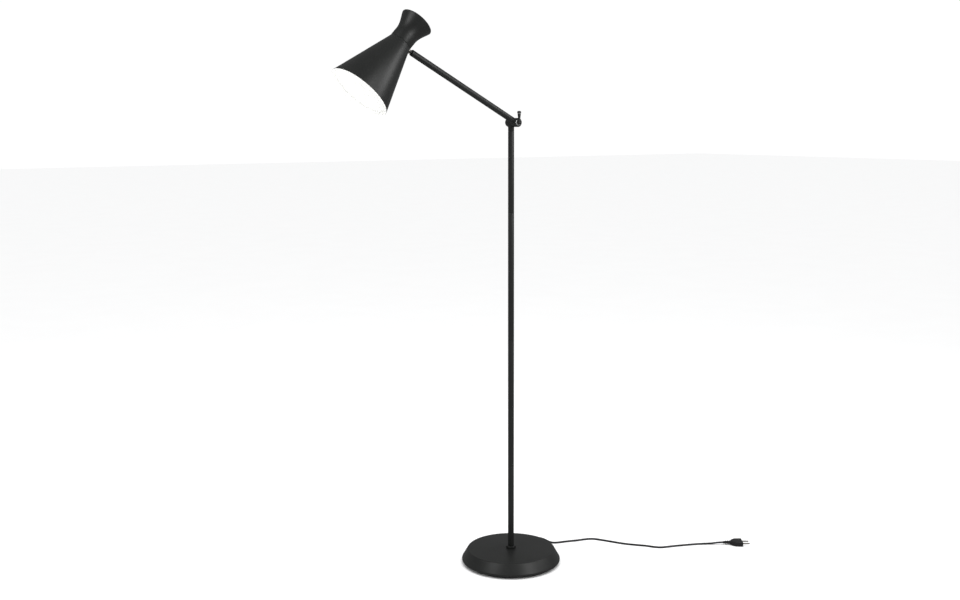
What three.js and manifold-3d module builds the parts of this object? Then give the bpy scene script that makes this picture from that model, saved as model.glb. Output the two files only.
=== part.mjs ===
// Adjustable arm floor lamp. Millimetres, +Z up, origin at the middle of the underside of the base.
// The arm lies in the XZ plane and points to -X. Both hinge axes run along Y, the clamp lever is on -Y,
// and the mains cord leaves the back of the base.
import * as THREE from 'three';
import { mergeVertices } from 'three/addons/utils/BufferGeometryUtils.js';
import Module from 'manifold-3d';

const wasm = await Module();
wasm.setup();

// ---------------------------------------------------------------- driving dimensions
const GAP = 0.3;                     // air between touching pieces
const DEG = Math.PI / 180;

const BASE_TOP = 38;                 // height of the flat top of the base
const BASE_TOP_R = 117.8;
const RIM_R = 133;                   // widest part of the base
const RIM_Z = 12;
const SHEET = 1.2;                   // wall of the spun steel covers
const FOOT_R = 121.5;
const FOOT_T = 4;
const PLATE_R = 125.4;
const PLATE_T = 1.5;
const WEIGHT_R = 104;                // cast iron weight inside the base
const WEIGHT_T = 16;

const TUBE_R = 8;                    // post and arm are the same steel tube
const TUBE_WALL = 1;
const PLUG_R = TUBE_R - TUBE_WALL - GAP;
const WIRE_R = 3.5;                  // bore that the wires run through
const NUT_FLATS = 23;                // post nut on top of the base
const NUT_T = 6.6;
const POST_FOOT = BASE_TOP + GAP + NUT_T + GAP;
const POST_JOINTS = [265, 610, 951]; // heights where the post unscrews for packing
const CLUTCH_Z = 1190;               // height of the clutch axis
const POST_TOP = CLUTCH_Z - 23;

const CLUTCH_R = 11.8;
const CLUTCH_BACK = 11.5;            // the clutch barrel runs from here to CLUTCH_FRONT along Y
const CLUTCH_SPLIT = -10;
const CLUTCH_FRONT = -33;
const FRICTION_T = 0.9;
const SCREW_R = 3;
const ARM_Y = -21.2;                 // plane of the arm and the shade

const ARM_ANGLE = 28.5 * DEG;        // arm above the horizontal at rest
const ARM_END = 358;                 // clutch axis to the upper end of the arm tube
const PIVOT_S = ARM_END + 4.5;       // clutch axis to the shade pivot
const KNUCKLE_R = 4.8;
const KNUCKLE_T = 4.7;

const SHADE_ANGLE = 46.8 * DEG;      // shade axis below the horizontal at rest
const PIVOT_OUT = 35;                // shade axis to the shade pivot
const PIVOT_UP = 4.6;                // seam of the shade to the shade pivot
const SEAM_R = 29.2;
const CONE_L = 166.6;
const CONE_R = 82;
const HEM = 8;                       // width of the rolled hem inside the rim
const NECK_L = 71;
const NECK_TOP_R = 43.4;

const CORD_D = 5;
const CORD_SIDES = 8;
const CORD_Z = 13;                   // height of the cord where it leaves the base
const CORD_TURN = 35.4 * DEG;        // the cord is laid out along axes turned by this about Z
const GLAND_TURN = -15 * DEG;        // the cord leaves the base this far from +Y
const BOOT_START = 133.7;            // collar of the strain relief, outside the base wall
const BOOT_END = 157;
const HANK_RUN = 75;                 // straight runs of the tied hank
const HANK_TURN = -6 * DEG;          // the hank is turned by this in the cord's axes
const HANK_OUT = 158.5;              // middle of the hank from the middle of the base
const HANK_TURNS = [15, 20, 25];     // middles of its turns at the round ends; the last is a far run only
const HANK_LIFT = 1;                 // the ties lift the hank off the floor by this

// ---------------------------------------------------------------- finishes
const BLACK = { color: 0x2b2c2b, roughness: 0.55, metalness: 0.1 };
const WHITE = { color: 0xf4f4f1, roughness: 0.5, metalness: 0 };
const STEEL = { color: 0xb4b5b3, roughness: 0.35, metalness: 0.9 };
const IRON = { color: 0x4a4a48, roughness: 0.8, metalness: 0.5 };
const RUBBER = { color: 0x171717, roughness: 0.85, metalness: 0 };
const PVC = { color: 0x151515, roughness: 0.45, metalness: 0 };
const PLASTIC = { color: 0x1d1d1e, roughness: 0.5, metalness: 0 };
const BRASS = { color: 0xc9a962, roughness: 0.35, metalness: 0.9 };
const OPAL = { color: 0xf7f6f0, roughness: 0.35, metalness: 0 };

// ---------------------------------------------------------------- shape helpers
// Corners are [x, y, radius]; a corner with a radius becomes an arc, and a very small one a plain chamfer.
// An open outline keeps its ends sharp.
function outline(corners, closed = true) {
  const points = [];
  const count = corners.length;
  corners.forEach(([x, y, radius = 0], i) => {
    const here = new THREE.Vector2(x, y);
    const isEnd = !closed && (i === 0 || i === count - 1);
    if (radius === 0 || isEnd) {
      points.push(here);
      return;
    }
    const before = corners[(i + count - 1) % count];
    const after = corners[(i + 1) % count];
    const a = new THREE.Vector2(before[0], before[1]).sub(here).normalize();
    const b = new THREE.Vector2(after[0], after[1]).sub(here).normalize();
    const half = Math.acos(THREE.MathUtils.clamp(a.dot(b), -1, 1)) / 2;
    const run = radius / Math.tan(half);
    const middle = a.clone().add(b).normalize().multiplyScalar(radius / Math.sin(half)).add(here);
    const from = a.multiplyScalar(run).add(here).sub(middle).angle();
    let sweep = b.multiplyScalar(run).add(here).sub(middle).angle() - from;
    if (sweep > Math.PI) sweep -= 2 * Math.PI;
    if (sweep < -Math.PI) sweep += 2 * Math.PI;
    const arcSteps = radius < 2 ? 1 : Math.min(3, Math.ceil(radius / 2));
    for (let k = 0; k <= arcSteps; k += 1) {
      const angle = from + (sweep * k) / arcSteps;
      points.push(new THREE.Vector2(Math.cos(angle), Math.sin(angle)).multiplyScalar(radius).add(middle));
    }
  });
  return points;
}

// A ring or a solid turned about Y. Corners run anticlockwise in (radius, height).
function turnedY(corners, segments = 28) {
  const onAxis = corners[0][0] === 0;
  const points = outline(corners, !onAxis);
  if (!onAxis) points.push(points[0].clone());
  return new THREE.LatheGeometry(points, segments);
}

function turnedZ(corners, segments = 28) {
  return turnedY(corners, segments).rotateX(Math.PI / 2);
}

// A plain round bar, or a tube where it has a bore, between two places on its axis.
function barY(radius, low, high, bore = 0, segments = 20) {
  return turnedY([[bore, low], [radius, low], [radius, high], [bore, high]], segments);
}

function barZ(radius, low, high, bore = 0, segments = 20) {
  return barY(radius, low, high, bore, segments).rotateX(Math.PI / 2);
}

function barX(radius, low, high, bore = 0, segments = 20) {
  return barZ(radius, low, high, bore, segments).rotateY(Math.PI / 2);
}

function block(x0, x1, y0, y1, z0, z1) {
  return new THREE.BoxGeometry(x1 - x0, y1 - y0, z1 - z0)
    .translate((x0 + x1) / 2, (y0 + y1) / 2, (z0 + z1) / 2);
}

// A hexagon nut on Z with flats square to X.
function nutZ(flats, low, high, bore) {
  const shape = new THREE.Shape();
  for (let i = 0; i < 6; i += 1) {
    const angle = (i * 60 + 30) * DEG;
    const corner = flats / 2 / Math.cos(30 * DEG);
    shape[i ? 'lineTo' : 'moveTo'](corner * Math.cos(angle), corner * Math.sin(angle));
  }
  const hole = new THREE.Path();
  hole.absarc(0, 0, bore, 0, 2 * Math.PI, true);
  shape.holes.push(hole);
  return new THREE.ExtrudeGeometry(shape, { depth: high - low, bevelEnabled: false, curveSegments: 10 })
    .translate(0, 0, low);
}

function toSolid(geometry) {
  const bare = geometry.clone();
  bare.deleteAttribute('normal');
  bare.deleteAttribute('uv');
  const merged = mergeVertices(bare, 1e-4);
  const index = merged.index.array;
  const triangles = [];
  for (let i = 0; i < index.length; i += 3) {
    const [a, b, c] = [index[i], index[i + 1], index[i + 2]];
    if (a !== b && b !== c && a !== c) triangles.push(a, b, c);
  }
  return new wasm.Manifold(new wasm.Mesh({
    numProp: 3,
    vertProperties: new Float32Array(merged.attributes.position.array),
    triVerts: new Uint32Array(triangles),
  }));
}

function toGeometry(solid) {
  const mesh = solid.getMesh();
  const geometry = new THREE.BufferGeometry();
  geometry.setAttribute('position', new THREE.BufferAttribute(new Float32Array(mesh.vertProperties), 3));
  geometry.setIndex(new THREE.BufferAttribute(new Uint32Array(mesh.triVerts), 1));
  geometry.computeVertexNormals();
  return geometry;
}

function join(...geometries) {
  return toGeometry(geometries.map(toSolid).reduce((a, b) => a.add(b)));
}

function cut(geometry, ...tools) {
  return toGeometry(tools.map(toSolid).reduce((a, b) => a.subtract(b), toSolid(geometry)));
}

function common(first, second) {
  return toGeometry(toSolid(first).intersect(toSolid(second)));
}

function piece(parent, name, geometry, finish) {
  const mesh = new THREE.Mesh(geometry, new THREE.MeshStandardMaterial(finish));
  mesh.name = name;
  parent.add(mesh);
}

const lamp = new THREE.Group();

// ---------------------------------------------------------------- base
const PLATE_Z = FOOT_T + GAP;
const WEIGHT_Z = PLATE_Z + PLATE_T + GAP;
const WEIGHT_TOP = WEIGHT_Z + WEIGHT_T;
const RIM_LOW = PLATE_Z + PLATE_T + GAP;
const LIP_R = PLATE_R - 0.9;         // the cover's inner lip rests on the bottom plate
const STUD_R = 5;
const SCREW_CIRCLE = 85;

function baseShell() {
  const shell = turnedZ([
    [LIP_R, RIM_LOW], [RIM_R, RIM_LOW, 4], [RIM_R, RIM_Z, 3], [BASE_TOP_R, BASE_TOP, 3],
    [STUD_R + 0.4, BASE_TOP], [STUD_R + 0.4, BASE_TOP - SHEET], [BASE_TOP_R - 0.8, BASE_TOP - SHEET],
    [RIM_R - SHEET, RIM_Z - 0.3], [RIM_R - SHEET, RIM_LOW + SHEET, 2.8], [LIP_R, RIM_LOW + SHEET],
  ], 44);
  return cut(shell, barY(5.3, BOOT_START - 16, BOOT_START + 8).translate(0, 0, CORD_Z).rotateZ(GLAND_TURN));
}

function counterweight() {
  const bossR = 14;
  const pocket = 8;
  const casting = turnedZ([
    [bossR, WEIGHT_Z], [WEIGHT_R, WEIGHT_Z], [WEIGHT_R, WEIGHT_TOP, 1.5], [bossR + 4, WEIGHT_TOP],
    [bossR, BASE_TOP - SHEET - GAP, 1], [STUD_R + 0.4, BASE_TOP - SHEET - GAP],
    [STUD_R + 0.4, WEIGHT_Z + pocket], [bossR, WEIGHT_Z + pocket],
  ], 36);
  const slot = block(-5, 5, 12, WEIGHT_R + 2, WEIGHT_Z - 1, WEIGHT_Z + 9.5).rotateZ(GLAND_TURN);
  const holes = [0, 1, 2].map((i) => {
    const angle = (i * 120 + 30) * DEG;
    return barZ(2, WEIGHT_Z - 1, WEIGHT_Z + 9, 0, 12)
      .translate(SCREW_CIRCLE * Math.cos(angle), SCREW_CIRCLE * Math.sin(angle), 0);
  });
  return cut(casting, slot, ...holes);
}

function bottomPlate() {
  const holes = [0, 1, 2].map((i) => {
    const angle = (i * 120 + 30) * DEG;
    return barZ(2.1, PLATE_Z - 1, PLATE_Z + 3, 0, 12)
      .translate(SCREW_CIRCLE * Math.cos(angle), SCREW_CIRCLE * Math.sin(angle), 0);
  });
  return cut(barZ(PLATE_R, PLATE_Z, PLATE_Z + PLATE_T, 0, 44), ...holes);
}

function footPad() {
  const pad = barZ(FOOT_R, 0, FOOT_T, 0, 44);
  const recesses = [0, 1, 2].map((i) => {
    const angle = (i * 120 + 30) * DEG;
    return barZ(4.4, 1.0, FOOT_T + 1, 0, 12)
      .translate(SCREW_CIRCLE * Math.cos(angle), SCREW_CIRCLE * Math.sin(angle), 0);
  });
  return cut(pad, ...recesses);
}

function plateScrew(i) {
  const angle = (i * 120 + 30) * DEG;
  return turnedZ([
    [0, PLATE_Z - 2], [3.6, PLATE_Z - 2, 0.8], [3.6, PLATE_Z - GAP], [1.7, PLATE_Z - GAP],
    [1.7, WEIGHT_Z + 7], [0, WEIGHT_Z + 8],
  ], 12).translate(SCREW_CIRCLE * Math.cos(angle), SCREW_CIRCLE * Math.sin(angle), 0);
}

piece(lamp, 'base_shell', baseShell(), BLACK);
piece(lamp, 'counterweight', counterweight(), IRON);
piece(lamp, 'bottom_plate', bottomPlate(), STEEL);
piece(lamp, 'foot_pad', footPad(), RUBBER);
for (let i = 0; i < 3; i += 1) piece(lamp, `plate_screw_${i + 1}`, plateScrew(i), STEEL);

// ---------------------------------------------------------------- post
const STUD_TOP = POST_FOOT + 16;
piece(lamp, 'root_stud', barZ(STUD_R, WEIGHT_Z + 0.5, STUD_TOP, WIRE_R), STEEL);
piece(lamp, 'root_nut', nutZ(17, WEIGHT_Z + 0.8, WEIGHT_Z + 6, STUD_R + GAP), STEEL);
piece(lamp, 'root_washer', barZ(12, WEIGHT_Z + 6.3, WEIGHT_Z + 7.7, STUD_R + GAP), STEEL);

function postNut() {
  const low = BASE_TOP + GAP;
  const corner = NUT_FLATS / 2 / Math.cos(30 * DEG);
  const chamfer = turnedZ([
    [0, low], [corner + 1, low], [corner + 1, low + NUT_T - 2.2], [corner - 2.6, low + NUT_T], [0, low + NUT_T],
  ], 36);
  return common(nutZ(NUT_FLATS, low, low + NUT_T, STUD_R + GAP), chamfer);
}

piece(lamp, 'post_nut', postNut(), BLACK);

// Threaded bush pressed in the lower end of the post.
piece(lamp, 'foot_bush', barZ(PLUG_R, POST_FOOT + 1, STUD_TOP + 4, STUD_R + GAP), STEEL);

const postCuts = [POST_FOOT, ...POST_JOINTS, POST_TOP];
for (let i = 0; i < postCuts.length - 1; i += 1) {
  const low = postCuts[i] + (i ? GAP / 2 : 0);
  const high = postCuts[i + 1] - GAP / 2;
  piece(lamp, `post_tube_${i + 1}`, barZ(TUBE_R, low, high, TUBE_R - TUBE_WALL, 24), BLACK);
}
POST_JOINTS.forEach((z, i) => {
  piece(lamp, `post_coupler_${i + 1}`, barZ(PLUG_R, z - 14, z + 14, WIRE_R), STEEL);
});

// ---------------------------------------------------------------- clutch at the top of the post
const clutch = new THREE.Group();
clutch.position.set(0, 0, CLUTCH_Z);
lamp.add(clutch);

const CHAMBER = [5, 8.6];            // ring-shaped room for the wires round the screw
const NUT_POCKET = 5;

function postKnuckle() {
  const barrel = turnedY([
    [SCREW_R + GAP, CLUTCH_SPLIT], [CHAMBER[0], CLUTCH_SPLIT], [CHAMBER[0], CLUTCH_SPLIT + 9],
    [CHAMBER[1], CLUTCH_SPLIT + 9], [CHAMBER[1], CLUTCH_SPLIT], [CLUTCH_R, CLUTCH_SPLIT, 0.3],
    [CLUTCH_R, CLUTCH_BACK, 1.2], [7.2, CLUTCH_BACK], [7.2, CLUTCH_BACK - NUT_POCKET],
    [SCREW_R + GAP, CLUTCH_BACK - NUT_POCKET],
  ], 28);
  const low = POST_TOP - CLUTCH_Z;
  const shank = join(barZ(TUBE_R, low + GAP / 2, -4, 0, 24), barZ(PLUG_R, low - 22, low + 1));
  const inside = barY(CLUTCH_R - 0.5, CLUTCH_SPLIT, CLUTCH_BACK, 0, 28);
  return cut(join(barrel, cut(shank, inside)), barZ(WIRE_R, low - 23, -6));
}

// The front knuckle carries the arm's spigot, has a room for the wires at its back face and a seat for the lever.
function armKnuckle() {
  const back = CLUTCH_SPLIT - FRICTION_T - 2 * GAP;
  const barrel = turnedY([
    [SCREW_R + GAP, CLUTCH_FRONT + 0.8], [9.4, CLUTCH_FRONT + 0.8], [9.4, CLUTCH_FRONT],
    [CLUTCH_R - 1.6, CLUTCH_FRONT], [CLUTCH_R, CLUTCH_FRONT + 1.6], [CLUTCH_R, back, 0.3],
    [CHAMBER[1], back], [CHAMBER[1], back - 10], [CHAMBER[0], back - 10], [CHAMBER[0], back],
    [SCREW_R + GAP, back],
  ], 28);
  const inside = barY(CLUTCH_R - 0.5, CLUTCH_FRONT, back, 0, 28);
  const spigot = cut(barX(PLUG_R, -34, -6).translate(0, ARM_Y, 0), inside);
  return cut(join(barrel, spigot), barX(WIRE_R, -35, -6).translate(0, ARM_Y, 0));
}

piece(clutch, 'post_knuckle', postKnuckle(), BLACK);
piece(clutch, 'friction_ring', barY(11.4, CLUTCH_SPLIT - GAP - FRICTION_T, CLUTCH_SPLIT - GAP, 9, 28), PLASTIC);
piece(clutch, 'clamp_nut', nutZ(10.5, -3.9, 0, SCREW_R + GAP).rotateX(Math.PI / 2)
  .translate(0, CLUTCH_BACK - NUT_POCKET + GAP, 0), STEEL);
piece(clutch, 'back_cap', turnedY([
  [0, CLUTCH_BACK - 0.5], [6.9, CLUTCH_BACK - 0.5], [6.9, CLUTCH_BACK + GAP], [CLUTCH_R - 1.2, CLUTCH_BACK + GAP],
  [CLUTCH_R - 1.4, CLUTCH_BACK + 1.5, 1], [0, CLUTCH_BACK + 1.8],
]), PLASTIC);

// The lever screws down on the front of the barrel and pinches the two knuckles together.
const HUB_BACK = CLUTCH_FRONT - 0.7;
const HUB_FRONT = HUB_BACK - 5.2;
const LEVER_Y = (HUB_BACK + HUB_FRONT) / 2;

function clampLever() {
  const hub = turnedY([
    [0, HUB_FRONT - 1.4], [2.5, HUB_FRONT - 1.1], [4.6, HUB_FRONT + 0.6, 1], [5.6, HUB_BACK - 1, 0.5],
    [5.6, HUB_BACK], [0, HUB_BACK],
  ], 24);
  const stem = turnedZ([[0, 0], [3.2, 0], [3.2, 11], [4.6, 22.5, 0.6], [4.6, 23.5], [0, 23.5]], 20)
    .scale(1, 0.8, 1).translate(0, LEVER_Y, 0);
  return join(hub, stem);
}

const leverTip = turnedZ([[0, 23.8], [5.4, 23.8, 0.5], [5.5, 26.5, 2], [3.6, 29.4, 2], [0, 30]], 20)
  .scale(1, 0.8, 1).translate(0, LEVER_Y, 0);

piece(clutch, 'clamp_lever', cut(clampLever(), barY(SCREW_R + GAP, HUB_FRONT + 1.6, HUB_BACK + 1)), BLACK);
piece(clutch, 'lever_tip', leverTip, PLASTIC);
piece(clutch, 'clamp_screw', barY(SCREW_R, HUB_FRONT + 1.9, CLUTCH_BACK - 1), STEEL);
piece(clutch, 'spring_washer', turnedY([
  [SCREW_R + GAP, CLUTCH_FRONT - 0.35], [8, CLUTCH_FRONT + 0.15], [8, CLUTCH_FRONT + 0.5],
  [SCREW_R + GAP, CLUTCH_FRONT],
], 24), STEEL);

// ---------------------------------------------------------------- arm
// The arm's own axes: X runs back from the shade to the clutch, so the arm lies along -X before it is raised.
const arm = new THREE.Group();
arm.position.set(0, 0, CLUTCH_Z);
arm.rotation.y = ARM_ANGLE;
lamp.add(arm);

function armTube() {
  const tube = barX(TUBE_R, -ARM_END, -4, TUBE_R - TUBE_WALL, 24).translate(0, ARM_Y, 0);
  return cut(tube, barY(CLUTCH_R + GAP, ARM_Y - 12, ARM_Y + 12, 0, 28));
}

function armTip() {
  const plug = barX(PLUG_R, -ARM_END, -ARM_END + 20);
  const tongue = join(
    barY(KNUCKLE_R, -GAP - KNUCKLE_T, -GAP).translate(-PIVOT_S, 0, 0),
    block(-PIVOT_S, -ARM_END + 0.5, -GAP - KNUCKLE_T, -GAP, -4.6, 4.6),
  );
  const wireBore = barX(WIRE_R - 1, -ARM_END - 0.5, -ARM_END + 21).translate(0, 3, 0);
  const eyeRoom = barY(KNUCKLE_R + GAP, 0, 8).translate(-PIVOT_S, 0, 0);
  const screwHole = barY(2.1, -8, 2, 0, 12).translate(-PIVOT_S, 0, 0);
  return cut(join(plug, tongue), wireBore, eyeRoom, screwHole).translate(0, ARM_Y, 0);
}

function pivotScrew() {
  return turnedY([
    [0, -7.2], [2.6, -7.2, 0.6], [3.7, -6.2, 0.5], [3.7, -GAP * 2 - KNUCKLE_T], [1.8, -GAP * 2 - KNUCKLE_T],
    [1.8, 8], [0, 8],
  ], 20).translate(-PIVOT_S, ARM_Y, 0);
}

piece(arm, 'arm_knuckle', armKnuckle(), BLACK);
piece(arm, 'arm_tube', armTube(), BLACK);
piece(arm, 'arm_tip', armTip(), BLACK);
piece(arm, 'pivot_screw', pivotScrew(), BLACK);
piece(arm, 'pivot_nut', nutZ(7, -8, -GAP * 2 - KNUCKLE_T, 2.1).rotateX(Math.PI / 2)
  .translate(-PIVOT_S, ARM_Y, 0), BLACK);

// ---------------------------------------------------------------- shade
// The shade's own axes: Z points up through the neck with 0 at the seam, X points to the shade pivot.
const shade = new THREE.Group();
const pivot = new THREE.Vector3(-PIVOT_S * Math.cos(ARM_ANGLE), ARM_Y, CLUTCH_Z + PIVOT_S * Math.sin(ARM_ANGLE));
const shadeTurn = Math.PI / 2 - SHADE_ANGLE;
shade.rotation.y = shadeTurn;
shade.position.copy(pivot).sub(new THREE.Vector3(PIVOT_OUT, 0, PIVOT_UP).applyEuler(shade.rotation));
lamp.add(shade);

const FLANGE_R = 22;
const SHADE_STUD_R = 2.5;
const STUD_HOLE_R = SHADE_STUD_R + GAP;
const RIVET_CIRCLE = 25.2;
const RIVET_TURN = 60;

function rivetSpots() {
  return [0, 1, 2].map((i) => {
    const angle = (i * 120 + RIVET_TURN) * DEG;
    return [RIVET_CIRCLE * Math.cos(angle), RIVET_CIRCLE * Math.sin(angle)];
  });
}

function rivetHoles() {
  return rivetSpots().map(([x, y]) => barZ(1.8, -3, 4, 0, 10).translate(x, y, 0));
}

function shadeCone() {
  const top = -GAP / 2;
  const slope = (CONE_R - SEAM_R) / CONE_L;
  const hemTop = -CONE_L + HEM;
  const at = (z) => SEAM_R - z * slope;
  return cut(turnedZ([
    [at(hemTop) - 2.6, hemTop, 0.3], [CONE_R - 2.6, -CONE_L, 1.1], [CONE_R, -CONE_L, 1.1], [SEAM_R, top, 0.6],
    [FLANGE_R, top], [FLANGE_R, top - SHEET], [SEAM_R - SHEET, top - SHEET], [at(hemTop) - SHEET, hemTop],
  ], 40), ...rivetHoles());
}

function shadeNeck() {
  const low = GAP / 2;
  const outer = new THREE.CubicBezierCurve(
    new THREE.Vector2(SEAM_R, 24), new THREE.Vector2(SEAM_R, 41),
    new THREE.Vector2(36.5, 53), new THREE.Vector2(NECK_TOP_R - 0.6, NECK_L - 2),
  ).getPoints(5).map((p) => [p.x, p.y]);
  const inner = outer.map(([r, z]) => [r - SHEET, z + 0.15]).reverse();
  return turnedZ([
    [FLANGE_R, low], [SEAM_R, low, 0.5], ...outer, [NECK_TOP_R, NECK_L, 1.2], [NECK_TOP_R - 2.6, NECK_L, 0.8],
    ...inner.slice(1), [SEAM_R - SHEET, low + SHEET], [FLANGE_R, low + SHEET],
  ], 36);
}

piece(shade, 'shade_cone', shadeCone(), BLACK);
piece(shade, 'shade_neck', cut(shadeNeck(), ...rivetHoles(),
  barX(STUD_HOLE_R, SEAM_R - 6, SEAM_R + 6).translate(0, 0, PIVOT_UP),
  block(FLANGE_R - 1, SEAM_R - SHEET - 0.4, -8, 8, -1, 1 + SHEET)), BLACK);
piece(shade, 'neck_cap', turnedZ([
  [0, NECK_L - 5], [37.8, NECK_L - 5, 0.5], [NECK_TOP_R - 3.6, NECK_L - 1.4, 0.4],
  [NECK_TOP_R - 5.2, NECK_L - 1.4], [36.8, NECK_L - 3.8, 0.5], [0, NECK_L - 3.8],
], 32), BLACK);
rivetSpots().forEach(([x, y], i) => {
  piece(shade, `seam_rivet_${i + 1}`, turnedZ([
    [0, -3.1], [2.2, -3.1, 0.6], [2.7, -1.65], [1.5, -1.65], [1.5, 1.65], [2.7, 1.65], [2.2, 3.1, 0.6], [0, 3.1],
  ], 10).translate(x, y, 0), STEEL);
});

// Half-lap knuckle and hollow stud that carry the shade.
function shadeStud() {
  const eye = join(
    barY(KNUCKLE_R, GAP, GAP + KNUCKLE_T),
    block(SEAM_R + GAP - PIVOT_OUT, 0, GAP, GAP + KNUCKLE_T, -3.8, 3.8),
  );
  const tongueRoom = barY(KNUCKLE_R + GAP, -8, GAP);
  const collar = cut(barX(5.2, SEAM_R + GAP - PIVOT_OUT, 0.6 - KNUCKLE_R), tongueRoom);
  const shank = barX(SHADE_STUD_R, 22.8 - PIVOT_OUT, -KNUCKLE_R);
  const hole = barY(2.1, -2, 8, 0, 12);
  const bore = barX(1.7, 22 - PIVOT_OUT, -KNUCKLE_R - 3.5, 0, 12);
  return cut(join(eye, collar, shank), hole, bore).translate(PIVOT_OUT, 0, PIVOT_UP);
}

// Angle bracket behind the neck wall, held by the stud's nut. Its upper leg carries the lampholder.
const LEG_OUT = 26.6;
const LEG_IN = 25.1;
const BRACKET_Z = 46;

function holderBracket() {
  const leg = block(LEG_IN, LEG_OUT, -7, 7, 0.5, BRACKET_Z + 1.5);
  const top = block(-9, LEG_OUT, -7, 7, BRACKET_Z, BRACKET_Z + 1.5);
  return cut(join(leg, top), barX(STUD_HOLE_R, LEG_IN - 2, LEG_OUT + 2).translate(0, 0, PIVOT_UP),
    barZ(5.3, BRACKET_Z - 2, BRACKET_Z + 4));
}

piece(shade, 'shade_stud', shadeStud(), STEEL);
piece(shade, 'stud_nut', nutZ(8, 0, 1.6, STUD_HOLE_R).rotateY(Math.PI / 2)
  .translate(LEG_IN - GAP - 1.6, 0, PIVOT_UP), STEEL);
piece(shade, 'holder_bracket', holderBracket(), STEEL);
piece(shade, 'holder_nipple', barZ(5, BRACKET_Z - 5, BRACKET_Z + 6.5, WIRE_R), BRASS);
piece(shade, 'nipple_nut', nutZ(14, BRACKET_Z + 1.8, BRACKET_Z + 5, 5.3), STEEL);

// ---------------------------------------------------------------- lampholder and bulb
piece(shade, 'holder_cap', turnedZ([
  [19, 27], [19, 33, 2], [12, BRACKET_Z - GAP, 3], [5.3, BRACKET_Z - GAP], [5.3, 40], [11.5, 40, 2],
  [16.6, 32], [16.6, 27],
], 20), WHITE);
piece(shade, 'contact_block', turnedZ([
  [0, 22], [12, 22], [12, 20.5], [15.4, 20.5], [15.4, 26.5], [4, 26.5], [3.4, 30], [0, 30],
], 20), OPAL);
piece(shade, 'holder_body', turnedZ([
  [14, -8], [19.4, -8, 1], [19.4, 2], [18.4, 4], [19, 26.7], [15.9, 26.7], [15.9, 20], [14, 20],
], 20), WHITE);
piece(shade, 'bulb_cap', turnedZ([
  [0, -4], [13.2, -4], [13.2, 14, 2], [5, 18, 1], [4, 20], [0, 20.2],
], 20), STEEL);
piece(shade, 'bulb_body', turnedZ([
  [0, -36], [27.5, -36], [26, -24, 4], [16, -10, 5], [13.5, -8.3], [13.2, -4.3], [0, -4.3],
], 20), WHITE);
piece(shade, 'bulb_globe', turnedZ([
  [0, -78], [14, -77, 6], [26.5, -66, 12], [30, -50, 14], [27.5, -36.3], [0, -36.3],
], 20), OPAL);

// ---------------------------------------------------------------- mains cord
// The strain relief's own axes: Y points straight out of the base wall.
const gland = new THREE.Group();
gland.rotation.z = GLAND_TURN;
gland.position.z = CORD_Z;
lamp.add(gland);
const COLLAR_R = 7.4;
piece(gland, 'cord_boot', turnedY([
  [0, BOOT_START - 16], [4.6, BOOT_START - 16], [4.6, BOOT_START - 11.4], [6.9, BOOT_START - 11.4, 0.4],
  [6.9, BOOT_START - 9.6, 0.4], [5, BOOT_START - 9.6], [5, BOOT_START], [COLLAR_R, BOOT_START, 0.5],
  [COLLAR_R, BOOT_START + 1.8, 0.7], [5.6, BOOT_START + 2.2, 0.5], [3.7, BOOT_END, 0.6], [0, BOOT_END],
], 16), PVC);

// The cord's axes: U runs along the floor to the side that it lies on, V away behind the lamp.
const cords = new THREE.Group();
cords.rotation.z = -CORD_TURN;
lamp.add(cords);

function at(u, v, z) {
  return new THREE.Vector3(u, v, z);
}

// A point straight out of the base wall, and a point in the hank's own axes.
function outOfWall(distance, z) {
  const angle = Math.PI / 2 + GLAND_TURN + CORD_TURN;
  return at(distance * Math.cos(angle), distance * Math.sin(angle), z);
}

function onHank(along, across, z) {
  return at(along, HANK_OUT + across, z).applyAxisAngle(new THREE.Vector3(0, 0, 1), HANK_TURN);
}

function cordTube(points) {
  const section = new THREE.Shape();
  for (let i = 0; i < CORD_SIDES; i += 1) {
    const angle = (2 * Math.PI * i) / CORD_SIDES;
    section[i ? 'lineTo' : 'moveTo'](CORD_D / 2 * Math.cos(angle), CORD_D / 2 * Math.sin(angle));
  }
  const path = new THREE.CatmullRomCurve3(points, false, 'centripetal');
  const steps = Math.ceil(path.getLength() / (2.4 * CORD_D));
  return new THREE.ExtrudeGeometry(section, { steps, bevelEnabled: false, extrudePath: path });
}

const REST = CORD_D / 2 + 0.05;      // middle of a cord that lies on the floor
const LOWER = HANK_LIFT + CORD_D / 2;
const UPPER = LOWER + CORD_D;
const HANK_END = HANK_RUN / 2;

// From the strain relief round to the upper far run of the hank.
const leadIn = [
  outOfWall(BOOT_END + GAP, CORD_Z), outOfWall(BOOT_END + 6, CORD_Z - 0.2), at(-58.4, 156.6, 12),
  at(-59.6, 163.6, 10.4), at(-57.6, 172.1, 9.1), at(-52.4, 178.9, 8.6), at(-46, 182.6, UPPER),
  onHank(-58.2, 20, UPPER),
];

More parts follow.
